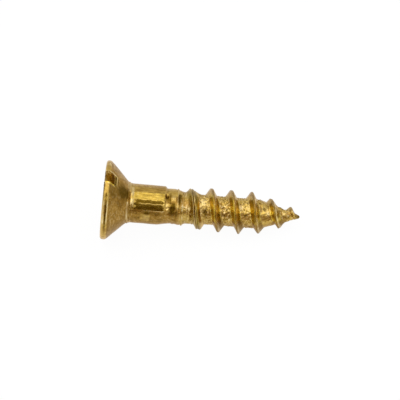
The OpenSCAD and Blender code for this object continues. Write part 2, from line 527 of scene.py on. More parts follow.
def skin():
    """The screw's whole skin: straight rows down to the neck, then rows wound with the thread."""
    psi = np.arange(COLUMNS) * 2 * math.pi / COLUMNS
    r, s = straight_skin(psi)
    points = [to_world(r, s, psi[None, :]).reshape(-1, 3)]
    ids = np.arange(r.size).reshape(r.shape)
    count = r.size
    faces = []
    for i in range(len(ids) - 1):
        a, b = ids[i], ids[i + 1]
        faces.extend(zip(a, np.roll(a, -1), np.roll(b, -1), b))
    # Wound rows, with more of them near the crest; past either end they fall on its ring.
    end_s = SCREW_L - TIP_CAP
    end_ids = count + np.arange(COLUMNS)
    points.append(to_world(TIP_R + 0 * psi, end_s + 0 * psi, psi))
    count += COLUMNS
    first = math.floor((WOUND_FROM - CREST_AT) / PITCH) - 1
    last = math.ceil((end_s - CREST_AT) / PITCH) + 1
    share = np.arange(ROWS_PER_PITCH) / ROWS_PER_PITCH
    offsets = PITCH * (share - CREST_CROWDING * np.sin(2 * math.pi * share))
    row_base = (PITCH * np.arange(first, last + 1)[:, None] + offsets[None, :]).ravel()
    row_s = crest_line(psi)[None, :] + row_base[:, None]
    before = row_s <= WOUND_FROM + END_MARGIN
    wound_ids = np.where(before, ids[-1][None, :], end_ids[None, :])
    inside = ~before & (row_s < end_s - END_MARGIN)
    wound_ids[inside] = count + np.arange(inside.sum())
    s_in = row_s[inside]
    psi_in = np.broadcast_to(psi[None, :], row_s.shape)[inside]
    marks = neck_marks(s_in, psi_in)
    points.append(to_world(rolled_radius(s_in, psi_in) + marks, s_in, psi_in))
    count += len(s_in)
    # The last column of a row meets the first column of the row one turn further on.
    for i in range(len(row_base) - 1 - ROWS_PER_PITCH):
        a, b = wound_ids[i], wound_ids[i + 1]
        a_next = np.append(a[1:], wound_ids[i + ROWS_PER_PITCH][0])
        b_next = np.append(b[1:], wound_ids[i + 1 + ROWS_PER_PITCH][0])
        for corners in zip(a, a_next, b_next, b):
            face = tuple(dict.fromkeys(corners))
            if len(face) > 2:
                faces.append(face)
    points.append(to_world(np.zeros(2), np.array([0.5 * FACE_TILT, SCREW_L]), np.zeros(2)))
    faces.extend(zip(np.roll(ids[0], -1), ids[0], [count] * COLUMNS))
    faces.extend(zip(end_ids, np.roll(end_ids, -1), [count + 1] * COLUMNS))
    mesh = bpy.data.meshes.new("screw_skin")
    mesh.from_pydata(np.concatenate(points).tolist(), [], [tuple(map(int, f)) for f in faces])
    mesh.validate()
    return mesh


BLADE_PAST_HEAD = 0.8
BLADE_ABOVE_FACE = 1.0
BLADE_STEPS = 60
BLADE_WALL_STEPS = 8
BLADE_EDGE_POINTS = 19
SLOT_CORNER_R = 0.14


def slot_cutter():
    """A blade that saws the driver slot, with slightly wavy sides and floor."""
    half = SLOT_W / 2
    reach = HEAD_R + BLADE_PAST_HEAD
    x = np.linspace(-reach, reach, BLADE_STEPS + 1)[:, None]
    # One section of the blade: down one side, across its rounded edge and up the other side.
    floor_y = -half * np.cos(np.radians(np.linspace(0, 180, BLADE_EDGE_POINTS)))
    wall = np.linspace(0, 1, BLADE_WALL_STEPS, endpoint=False)
    y = np.concatenate((0 * wall - half, floor_y, 0 * wall + half)) + 0 * x
    share = np.concatenate((wall, 0 * floor_y + 1, wall[::-1]))
    size = len(share)
    xx = x + 0 * y
    # Towards the slot's upper end the blade went deeper, and its corners are rounder.
    upper_end = smooth((xx - 1.9) / 0.8)
    far_r = SLOT_CORNER_R + 0.22 * upper_end
    near_r = SLOT_CORNER_R + 0.16 * upper_end
    rounded = far_r - np.sqrt(far_r ** 2 - np.clip(far_r - half - y, 0, far_r) ** 2)
    rounded += near_r - np.sqrt(near_r ** 2 - np.clip(near_r - half + y, 0, near_r) ** 2)
    z = (BLADE_ABOVE_FACE + SLOT_DEPTH + 0.12 * upper_end - rounded) * share - BLADE_ABOVE_FACE
    y = y * (1 + 0.02 * np.sin(2.3 * xx + 3.0 * z) + 0.012 * np.sin(9.1 * xx - 5.0 * z))
    z = z + 0.012 * (z > 0.5) * np.sin(7.0 * xx + 4.0 * y)
    y = y - 0.08 * (y < 0) * upper_end * (1 - 0.5 * smooth((z - 0.3) / 0.5))
    at = math.radians(OFF_CENTRE_AT)
    points = placed(xx + HEAD_OFF * math.cos(at), y + HEAD_OFF * math.sin(at), z)
    faces = []
    for i in range(BLADE_STEPS):
        for j in range(size):
            k = (j + 1) % size
            a, b = i * size, (i + 1) * size
            faces.append((a + j, b + j, b + k, a + k))
    faces.append(tuple(range(size)))
    faces.append(tuple(BLADE_STEPS * size + j for j in reversed(range(size))))
    mesh = bpy.data.meshes.new("slot_cutter")
    mesh.from_pydata(points.reshape(-1, 3).tolist(), [], faces)
    return mesh


def make_object(name, data):
    """A new object in the scene for a mesh, camera or light."""
    made = bpy.data.objects.new(name, data)
    bpy.context.scene.collection.objects.link(made)
    return made


# ---- Masks for wear, tarnish and painted light and shade, kept on the mesh ----
# Dark places, each (distance, angle, size along, size around, strength): tarnish, and painted
# shade and painted dark reflections.
TARNISH_AND_SHADE_SPOTS = (
    (0.04, 8, 0.09, 1.5, 1.1),
    (0.06, 30, 0.08, 0.5, 0.5),
    # On the land: painted shade that tones down its highlight, and its dark middle, a painted dark
    # reflection.
    (0.19, 18, 0.07, 0.5, 0.28),
    (0.2, 31, 0.14, 0.34, 0.6),
    (0.33, 29, 0.09, 0.34, 1.0),
    (0.33, 70, 0.07, 0.8, 1.1),
    (0.335, 55, 0.072, 1.55, 1.4),
    (0.62, 82, 0.11, 1.4, 0.45),
    (0.72, 16, 0.16, 0.3, 0.55),
    (1.17, -3, 0.035, 0.36, 1.2),
    # The cone's dark patch: a painted dark reflection.
    (1.65, 13, 0.45, 0.62, 1.4),
    (2.01, 14, 0.12, 0.5, 1.1),
    (2.2, 60, 0.12, 0.28, 0.5),
    (2.24, 66, 0.08, 0.26, 0.6),
    (2.45, 50, 0.25, 0.2, 0.7),
    (2.7, 17, 0.16, 0.14, 0.55),
    (2.7, 29, 0.16, 0.1, 0.5),
    (2.7, 38, 0.16, 0.3, 0.5),
    (3.0, 83, 0.1, 0.13, 0.8),
    (3.5, 55, 0.5, 0.07, 0.7),
    (3.65, 63, 0.28, 0.2, 1.1),
    (3.95, 66, 0.6, 0.24, 0.35),
    (3.96, 80, 0.05, 0.3, 0.6),
    (4.45, 64, 0.45, 0.14, 0.7),
    (4.7, 84, 0.3, 0.05, 0.6),
    (4.74, 5, 0.28, 0.15, 0.6),
    (5.2, -30, 0.13, 0.6, 0.45),
    (5.22, 6, 0.2, 0.31, 1.0),
    (5.28, 18, 0.14, 0.3, 0.9),
    (5.46, 4, 0.1, 0.36, 0.85),
    (5.46, 20, 0.11, 0.5, 0.95),
    (5.48, 57, 0.14, 0.22, 0.9),
    (5.69, 47, 0.22, 0.54, 1.6),
    (5.78, 31, 0.14, 0.22, 0.95),
    (6.0, 14, 0.1, 0.3, 0.5),
    (6.0, 58, 0.14, 0.26, 0.95),
    (6.02, 63, 0.13, 0.3, 0.8),
    (6.04, -42, 0.16, 0.5, 0.3),
    (6.06, 32, 0.15, 0.18, 0.4),
    (6.23, 8, 0.14, 0.52, 1.7),
    (6.5, 22, 0.15, 0.3, 0.35),
    (6.75, 100, 0.4, 0.6, 0.35),
    (7.75, 100, 0.3, 0.6, 0.35),
    (8.12, 34, 0.05, 0.06, 0.6),
    (8.33, 50, 0.16, 0.36, 1.5),
    (8.42, 30, 0.06, 0.08, 0.8),
    (9.84, 56, 0.25, 0.16, 0.7),
    (10.1, 36, 0.06, 0.12, 0.8),
    (11.25, 30, 0.1, 0.09, 0.6),
    (11.6, 49, 0.24, 0.16, 0.8),
    (12.7, -12, 0.09, 0.12, 0.9),
    (12.95, -20, 0.1, 0.1, 0.7),
    (13.12, 14, 0.18, 0.17, 0.75),
    (14.28, 28, 0.14, 0.3, 0.7),
    (14.66, 40, 0.06, 0.12, 0.8),
    (15.1, 48, 0.08, 0.1, 0.9),
    (15.35, 10, 0.06, 0.1, 0.9),
    (15.85, 40, 0.2, 0.6, 0.95),
)


def drawn_in(psi, t):
    """The first turn's distance t, where its tip-side folds close up past the front."""
    return t + 0.09 * smooth(turned(psi, 25) / 25.0)


def tarnished_and_shaded(s, psi):
    """Where the brass is darkened: tarnish in spots and between the first turn's folds, and
    painted shade and painted dark reflections in spots, along the turns, along the shank's groove
    and on the cone.
    """
    marks = [spot(s, psi, *row) for row in TARNISH_AND_SHADE_SPOTS]
    t = from_crest(s, psi)
    folds = 0.45 * window(t, -0.42, -0.24, 0.06) + window(t, -0.105, -0.06, 0.03)
    folds += 0.45 * window(drawn_in(psi, t), 0.12, 0.27, 0.05)
    folds += 0.8 * window(t, 0.045, 0.08, 0.03)
    folds += 0.35 * window(t, -0.2, 0.2, 0.06) * sector(psi, 8, -14, 16, 8)
    marks.append(folds * first_turn(s, t))
    # Painted shade and painted dark reflections along the turns, each (strength, across the crest,
    # round the screw).
    for strength, across, around in (
        (0.45, (0.18, 0.44, 0.06), (95, -32, 60, 14)),
        (0.38, (-0.11, 0.06, 0.04), (28, -28, 36, 12)),
        (0.28, (-0.22, 0.46, 0.06), (90, -20, 60, 12)),
        (0.35, (0.26, 0.42, 0.05), (14, -14, 16, 8)),
    ):
        marks.append(strength * window(t, *across) * sector(psi, *around) * full_turns(s, t))
    late_foot = window(t, 0.16, 0.4, 0.06) * late_turns(s, t)
    marks.append(0.6 * late_foot * sector(psi, 28, -30, 22, 10))
    marks.append(0.75 * ring_share(s, psi, LOWER_PIT, 0.0, 0.9))
    marks.append(0.55 * ring_share(s, psi, UPPER_PIT, 0.45, 0.8))
    marks += [groove_dark_reflection(s, psi), cone_reflection_and_shade(s, psi)]
    return np.maximum(np.max(marks, axis=0), 0.0)


def grey_reflection(s, psi):
    """Painted grey reflection on the crest's two off sides, the strip along the top and the
    underside, where the screw is seen edge-on.
    """
    t = from_crest(s, psi)
    reach = window(s - t, 7.0, 15.6, 0.4)
    off_share = smooth((off_side(psi) - 0.45) / 0.35) + smooth((-off_side(psi) - 0.7) / 0.25)
    crest = 0.55 * window(t, -0.2, 0.24, 0.12) * off_share * reach
    top = 0.38 * sector(psi, -60, -38, 38, 20)
    underside = 0.1 * sector(psi, 120, -32, 60, 16)
    return np.maximum(crest, top + underside)


def yellow_highlight(s, psi):
    """Painted yellow highlight on the crest's flanks towards the front and on the long flat."""
    t = from_crest(s, psi)
    reach = full_turns(s, t, 15.2) * sector(psi, 44, -22, 28, 12)
    flank = reach * (window(t, -0.4, -0.06, 0.06) + 0.4 * window(t, 0.05, 0.4, 0.05))
    facet = 0.28 * window(s, 2.5, 5.0, 0.15) * sector(psi, LONG_FLAT_AT, -12, 11, 3)
    return np.maximum(flank, facet)


def groove_dark_reflection(s, psi):
    """A painted dark reflection in a band along the shank's groove, lighter on the groove's bright
    lip.
    """
    at = turned(psi, 0) + 0.8 * np.sin(7.1 * s) + 0.5 * np.sin(23.0 * s)
    start = 2.56 + 0.1 * np.sin(0.45 * at)
    end = 5.0 + 0.07 * np.sin(0.9 * at)
    band = window(at, 24.5, 54.5, 2.0) * smooth((s - start) / 0.15) * smooth((end - s) / 0.12)
    lip = window(at, 34.4, 36.6, 1.0) * window(s, 2.95, 5.2, 0.1)
    return 1.15 * band * (1 - 0.72 * lip)


def cone_reflection_and_shade(s, psi):
    """Painted dark reflection in the brown strip on the cone in line with the shank's long flat,
    and painted shade on its lower side.
    """
    at = turned(psi, 0) + 3.0 * np.sin(5.0 * s) + 2.0 * np.sin(11.0 * s + 1.0)
    strip = 0.55 * window(at, 7.0, 29.0, 8.0) * window(s, 0.52, 2.02, 0.15)
    low_side_shade = 0.3 * sector(psi, 108, -28, 70, 14) * window(s, 0.52, 2.0, 0.1)
    return np.maximum(strip, low_side_shade)


def olive(s, psi):
    """The thread's flanks and folds, which keep an olive skin from the rolling."""
    t = from_crest(s, psi)
    ragged = 0.025 * np.sin(9 * psi + 2 * s) + 0.02 * np.sin(23 * psi + 5 * s)
    reach = full_turns(s, t, 15.2) * sector(psi, 28, -38, 40, 18)
    left = window(t + ragged, -0.3, -0.08, 0.06)
    right = window(t + ragged, 0.17, 0.38, 0.06) * (1 - late_turns(s, t))
    folds = 0.8 * window(t, -0.42, -0.24, 0.05)
    folds += 0.6 * window(drawn_in(psi, t), 0.12, 0.3, 0.05)
    folds += 0.4 * window(t, -0.24, 0.1, 0.05)
    return np.maximum(reach * np.maximum(left, right), folds * first_turn(s, t))


def dulled_and_shaded(s, psi):
    """Where the brass is matt and brown: the cone, and the wire away from its bright flats. On the
    lower side, on the crests and in a band along the roots, this darker base is painted shade and
    painted dark reflection.
    """
    cone = smooth((s - 0.48) / 0.12) * (1 - smooth((s - 1.9) / 0.5))
    # The cone's lower side is darker still: painted shade.
    cone = cone * (1 + 0.8 * sector(psi, 105, -26, 70, 14))
    shank_top = 0.2 * window(s, 2.3, 5.4, 0.3) * sector(psi, -45, -70, 44, 8)
    waist = 0.6 * window(s, 6.15, 7.05, 0.2) * sector(psi, 24, -14, 15, 6)
    # The shank's lower side is darker: painted shade.
    shank_underside_shade = 0.95 * window(s, 2.2, 6.2, 0.4) * sector(psi, 100, -44, 110, 10)
    short_flat = window(s, 3.15, 3.9, 0.12) * sector(psi, SHORT_FLAT_AT, -14, 15, 5)
    clean = window(s, 5.5, 5.92, 0.1) * sector(psi, 9, -8, 11, 5)
    neck = 0.9 * window(s, 5.1, 6.5, 0.2) * sector(psi, 15, -14, 14, 8) * (1 - clean)
    drift = turned(psi, 0) + 0.5 * np.sin(1.7 * s) + 0.3 * np.sin(6.0 * s)
    streaks = 1.6 * window(drift, 6.6, 9.0, 1.0) + 0.9 * window(drift, 0.5, 1.8, 0.8)
    streaks += 0.9 * window(drift, 20.5, 22.0, 0.8) + 0.6 * window(drift, 13.6, 14.6, 0.8)
    facet = window(s, 2.5, 5.0, 0.1) * sector(psi, LONG_FLAT_AT, -11, 11, 2) * (0.35 + streaks)
    t = from_crest(s, psi)
    on_thread = window(s - t, 8.2, 15.0, 0.4)
    front = sector(psi, 50, -18, 22, 12)
    # The crests are darker, less so at the front: painted shade on the crests.
    crest = 1.2 * window(t, -0.12, 0.15 - 0.08 * front, 0.05) * on_thread * (1 - 0.6 * front)
    off_sides = 1 - sector(psi, 28, -38, 40, 18)
    flanks = 0.3 * np.maximum(window(t, -0.32, 0.0, 0.06), window(t, 0.1, 0.42, 0.06)) * off_sides
    # On the lower side the flanks are darker: painted shade.
    low_side_shade = sector(psi, 75, -12, 70, 12)
    flanks += 0.5 * low_side_shade * window(t, -0.4, 0.42, 0.06)
    flanks += 0.35 * sector(psi, 110, -25, 60, 12)
    folds = window(t, -0.24, 0.12, 0.05) * first_turn(s, t)
    right_feet = window(t, 0.4, 0.6, 0.08) * sector(psi, 16, -14, 12, 8)
    thread = np.maximum(crest, (flanks + right_feet) * on_thread) + 0.9 * folds
    # A darker band along the roots: painted dark reflection.
    roots_dark_reflection = 0.7 * sector(psi, 55, -11, 10, 6) * smooth((np.abs(t) - 0.28) / 0.1)
    roots_dark_reflection *= on_thread
    shank = shank_top + shank_underside_shade * (1 - 0.8 * short_flat)
    return cone + shank + waist + neck + facet + thread + roots_dark_reflection


def scored(s):
    """Where fine lines run along the wire: the plain shank."""
    return window(s, 2.4, 5.1, 0.2)


def streaked(s):
    """Where fine lines run round the wire: the cone, the fillet, the waist and the first turn."""
    cone = 0.4 * window(s, 0.5, 1.95, 0.2)
    fillet = 0.7 * window(s, 1.95, 2.5, 0.15)
    waist = window(s, 6.25, 7.7, 0.4)
    return np.maximum.reduce((cone, fillet, waist))


def sandy(s, psi):
    """Where the rolling left a grainy skin: the waist, the thread's root and the point."""
    t = from_crest(s, psi)
    root = smooth((np.abs(t) - 0.34) / 0.1) * window(s, 7.6, 15.2, 0.4)
    root *= 1 - 0.6 * window(s, 12.75, 13.75, 0.25)
    waist = 0.35 * window(s, 6.3, 7.0, 0.5)
    point = 0.7 * smooth((s - 14.6) / 0.4)
    return np.maximum.reduce((root, waist, point))


def sawn(s, across):
    """The walls and floor of the driver slot."""
    deep = smooth((s - 0.03) / 0.04) * (1 - smooth((s - 1.06) / 0.03))
    return (1 - smooth((np.abs(across) - 0.5) / 0.03)) * deep


# Bright spots, painted highlights and rubbed wear, each (distance, angle, size along, size around,
# strength).
GLINT_AND_WEAR_SPOTS = (
    (0.42, -27, 0.07, 0.11, 1.0),
    (5.2, 34, 0.1, 0.12, 0.4),
    (5.26, 46, 0.09, 0.12, 0.6),
    (5.71, 8, 0.16, 0.2, 0.25),
    (6.6, 36, 0.2, 0.06, 0.9),
    (7.95, 52, 0.14, 0.5, 0.6),
    (8.1, 9, 0.22, 0.4, 0.7),
    (11.2, 20, 0.2, 0.24, 0.6),
    (13.42, 34, 0.13, 0.2, 0.9),
    (14.7, 24, 0.08, 0.14, 0.7),
    (15.05, 30, 0.1, 0.14, 0.9),
)
# Bright lines, painted highlights along edges, ridges and lips, each (strength, along the screw,
# round it).
GLINT_LINES = (
    (0.35, (1.95, 2.26, 0.06), (-30, -50, 28, 12)),
    (0.7, (1.97, 2.09, 0.03), (58, -23, 34, 6)),
    (0.55, (2.3, 2.5, 0.12), (5, -22, 9, 9)),
    (0.25, (3.0, 5.0, 0.3), (35.5, -1, 1, 1)),
    (0.8, (3.3, 5.0, 0.3), (55.5, -1, 1, 1)),
    (0.12, (3.35, 3.85, 0.1), (SHORT_FLAT_AT, -12, 13, 5)),
    (0.8, (6.42, 6.52, 0.04), (36, -12, 16, 8)),
    (0.5, (6.05, 6.11, 0.03), (4, -60, 50, 16)),
    (0.9, (1.06, 1.11, 0.03), (-3, -9, 9, 4)),
)


def glint_lines(s, psi):
    """Thin bright lines and spots: painted highlights along edges, crests, lips and pit rims, with
    some rubbed wear.
    """
    land = sector(psi, LAND_GROOVE_AT, -14, 20, 8)
    out = land * (window(s, 0.41, 0.5, 0.03) + 1.3 * window(s, 0.12, 0.22, 0.03))
    bars = smooth(np.sin(44.0 * s) * 1.5 + 0.3)
    out += bars * window(s, 2.28, 2.5, 0.06) * sector(psi, 33, -9, 14, 5)
    for strength, along, around in GLINT_LINES:
        out += strength * window(s, *along) * sector(psi, *around)
    out = with_spots(out, s, psi, GLINT_AND_WEAR_SPOTS)
    t = from_crest(s, psi)
    # A painted highlight along each crest, and fainter ones at the feet.
    broken = 0.65 + 0.35 * np.sin(5 * psi + 3 * s) * np.sin(17 * psi)
    feet = window(t, -0.42, -0.36, 0.04) + window(t, 0.4, 0.46, 0.04)
    out += broken * (1.1 * window(t, 0.07, 0.16, 0.04) + 0.35 * feet) * full_turns(s, t)
    folds = 0.7 * window(t, -0.155, -0.115, 0.03) + 0.4 * window(t, 0.0, 0.03, 0.03)
    out += 0.8 * ring_share(s, psi, UPPER_PIT, 0.95, 1.35)
    out += 0.5 * ring_share(s, psi, LOWER_PIT, 1.1, 1.4)
    return out + folds * first_turn(s, t)


WELD_MM = 0.002
SLIVER_MM = 0.001
SHARP_DEG = 50
SURROUNDINGS_ROUNDS = 30


def as_rows(elements, key, width, kind=float):
    """One property of all the mesh's elements, as rows of numbers."""
    rows = np.empty(len(elements) * width, dtype=kind)
    elements.foreach_get(key, rows)
    return rows.reshape(-1, width)


def relaxed(values, edges, rounds):
    """Each point's value averaged with its neighbours' for some rounds."""
    count = len(values)
    a, b = edges[:, 0], edges[:, 1]
    degree = np.bincount(a, minlength=count) + np.bincount(b, minlength=count)
    degree = np.maximum(degree, 1)
    for _ in range(rounds):
        columns = []
        for c in range(values.shape[1]):
            total = np.bincount(a, weights=values[b, c], minlength=count)
            total += np.bincount(b, weights=values[a, c], minlength=count)
            columns.append(total / degree)
        values = 0.5 * values + 0.5 * np.stack(columns, axis=1)
    return values


def add_masks(mesh):
    """Keep a mask on the mesh for each kind of wear, tarnish and grain, and for painted light and
    shade.
    """
    co = as_rows(mesh.vertices, "co", 3)
    normals = as_rows(mesh.vertex_normals, "vector", 3)
    edges = as_rows(mesh.edges, "vertices", 2, np.int64)
    # How far each point stands out of its surroundings, in millimetres.
    surroundings = relaxed(co, edges, SURROUNDINGS_ROUNDS)
    proud = np.einsum("ij,ij->i", co - surroundings, normals) / MM
    proud = relaxed(proud[:, None], edges, 2)[:, 0]
    local = (co - np.array(FACE)) / MM
    s, along_side, along_up = (local @ np.array(v) for v in (AXIS, SIDE, UP))
    psi = np.arctan2(along_side, along_up)
    in_slot = sawn(s, along_side)
    outside = 1 - in_slot
    # Deeper in the slot the brass is darker: painted shade.
    slot_floor_shade = 0.05 * smooth((s - 0.3) / 0.4) + 0.8 * smooth((s - 0.8) / 0.1)
    tarnish_and_shade = np.clip(np.maximum(tarnished_and_shaded(s, psi), in_slot * slot_floor_shade), 0, 1)
    # Proud points are lighter as rubbed wear; the painted highlight lines join them in one mask.
    rubbed_and_glinting = smooth((proud - 0.03) / 0.045) * (1 - 0.85 * tarnish_and_shade)
    rubbed_and_glinting *= 1 - 0.8 * smooth((s - 8.2) / 0.2)
    hollow = smooth(-proud / 0.035) * (1 - smooth((s - 7.5) / 0.3))
    masks = {
        "rubbed_and_glinting": np.maximum(rubbed_and_glinting, glint_lines(s, psi)) * outside,
        "hollow": hollow * outside,
        "tarnish_and_shade": tarnish_and_shade,
        "dull_and_shade": dulled_and_shaded(s, psi) * outside,
        "streaky": streaked(s) * outside,
        "scored": scored(s),
        "olive": olive(s, psi),
        "yellow_highlight": yellow_highlight(s, psi),
        "grey_reflection": grey_reflection(s, psi),
        "sandy": sandy(s, psi),
        "sawn": in_slot,
    }
    for name, values in masks.items():
        mask = mesh.attributes.new(name, "FLOAT", "POINT")
        mask.data.foreach_set("value", np.clip(values, 0, 1).astype(np.float32))


def clear_slivers(mesh):
    """Clear the hair-thin and doubled faces that the saw cut leaves along its edges."""
    work = bmesh.new()
    work.from_mesh(mesh)
    bmesh.ops.remove_doubles(work, verts=work.verts, dist=WELD_MM * MM)
    bmesh.ops.dissolve_degenerate(work, edges=work.edges, dist=SLIVER_MM * MM)
    bmesh.ops.triangulate(work, faces=work.faces)
    by_corners = {}
    for face in work.faces:
        by_corners.setdefault(frozenset(vert.index for vert in face.verts), []).append(face)
    doubled = [face for faces in by_corners.values() if len(faces) > 1 for face in faces]
    bmesh.ops.delete(work, geom=doubled, context="FACES")
    work.to_mesh(mesh)
    work.free()


def screw_body():
    """The skin with its driver slot sawn, smoothed and masked."""
    screw = make_object("wood_screw", skin())
    cutter = make_object("slot_cutter", slot_cutter())
    cut = screw.modifiers.new("driver_slot", "BOOLEAN")
    cut.operation = "DIFFERENCE"
    cut.solver = "EXACT"
    cut.object = cutter
    bpy.context.view_layer.update()
    graph = bpy.context.evaluated_depsgraph_get()
    final = bpy.data.meshes.new_from_object(screw.evaluated_get(graph))
    screw.modifiers.clear()
    screw.data = final
    bpy.data.objects.remove(cutter)
    clear_slivers(final)
    final.shade_smooth()
    final.set_sharp_from_angle(angle=math.radians(SHARP_DEG))
    add_masks(final)
    return screw


# ---- Finish: base colours from the darkest layer to the brightest ----
# Dark brown for tarnish, used for painted shade and painted dark reflections too.
TARNISH_AND_SHADE_BROWN = (0.12, 0.066, 0.005, 1)
BROWN_BRASS = (0.25, 0.13, 0.018, 1)
# Grey brass for the painted grey reflection.
GREY_REFLECTION_BRASS = (0.29, 0.22, 0.128, 1)
# Matt brass, also used as painted shade on the lower side, the crests and the roots.
DULL_AND_SHADED_BRASS = (0.38, 0.215, 0.042, 1)
OLIVE_BRASS = (0.5, 0.36, 0.046, 1)
CLEAN_BRASS = (0.63, 0.425, 0.098, 1)
# Bright yellow for the painted highlight.
YELLOW_HIGHLIGHT_BRASS = (0.74, 0.565, 0.08, 1)
# Pale brass for rubbed wear and painted highlights.
RUBBED_AND_GLINT_BRASS = (0.9, 0.74, 0.4, 1)
SAWN_BRASS = (0.98, 0.69, 0.06, 1)
EDGE_TINT = (1.0, 0.9, 0.78, 1)
BUMP_MM = 0.02


class Nodes:
    """Short calls for building a material's nodes."""

    def __init__(self, tree):
        self.tree = tree

    def new(self, kind, **settings):
        """A node with its plain settings."""
        node = self.tree.nodes.new("ShaderNode" + kind)
        for key, value in settings.items():
            setattr(node, key, value)
        return node

    def feed(self, node, name, value):
        """Link a socket into an input, or set it to a plain value."""
        socket = node.inputs[name]
        if isinstance(value, bpy.types.NodeSocket):
            self.tree.links.new(value, socket)
        else:
            socket.default_value = value

    def math(self, operation, a, b=0.0):
        node = self.new("Math", operation=operation)
        self.feed(node, 0, a)
        self.feed(node, 1, b)
        return node.outputs[0]

    def times(self, a, b):
        return self.math("MULTIPLY", a, b)

    def plus(self, a, b):
        return self.math("ADD", a, b)

    def larger(self, a, b):
        return self.math("MAXIMUM", a, b)

    def one_minus(self, a):
        return self.math("SUBTRACT", 1.0, a)

    def span(self, value, low, high, to_low=0.0, to_high=1.0):
        """A smooth step from low to high, mapped to to_low and to_high."""
        node = self.new("MapRange", interpolation_type="SMOOTHSTEP")
        self.feed(node, "Value", value)
        self.feed(node, "From Min", low)
        self.feed(node, "From Max", high)
        self.feed(node, "To Min", to_low)
        self.feed(node, "To Max", to_high)
        return node.outputs["Result"]

    def noise(self, where, scale, detail=2.0, rough=0.5):
        node = self.new("TexNoise")
        self.feed(node, "Vector", where)
        self.feed(node, "Scale", scale)
        self.feed(node, "Detail", detail)
        self.feed(node, "Roughness", rough)
        return node.outputs["Fac"]

    def stretched(self, where, scale):
        """Coordinates scaled by a different amount on each axis."""
        node = self.new("Mapping", vector_type="POINT")
        self.feed(node, "Vector", where)
        self.feed(node, "Scale", scale)
        return node.outputs["Vector"]

    def colour(self, factor, a, b):
        """A mix of two colours: a at 0 and b at 1."""
        node = self.new("Mix", data_type="RGBA")
        self.feed(node, 0, factor)
        self.feed(node, 6, a)
        self.feed(node, 7, b)
        return node.outputs[2]

    def mask(self, name):
        return self.new("Attribute", attribute_name=name).outputs["Fac"]

    def along_screw(self):
        """Coordinates in millimetres: X along the axis from the face, Y and Z across it."""
        place = self.new("Mapping", vector_type="TEXTURE")
        self.feed(place, "Vector", self.new("TexCoord").outputs["Object"])
        self.feed(place, "Location", FACE)
        self.feed(place, "Rotation", (0.0, TILT, 0.0))
        self.feed(place, "Scale", (MM, MM, MM))
        return place.outputs["Vector"]


def new_material(name):
    """A new material, its nodes and its shader."""
    material = bpy.data.materials.new(name)
    material.use_nodes = True
    return material, Nodes(material.node_tree), material.node_tree.nodes["Principled BSDF"]


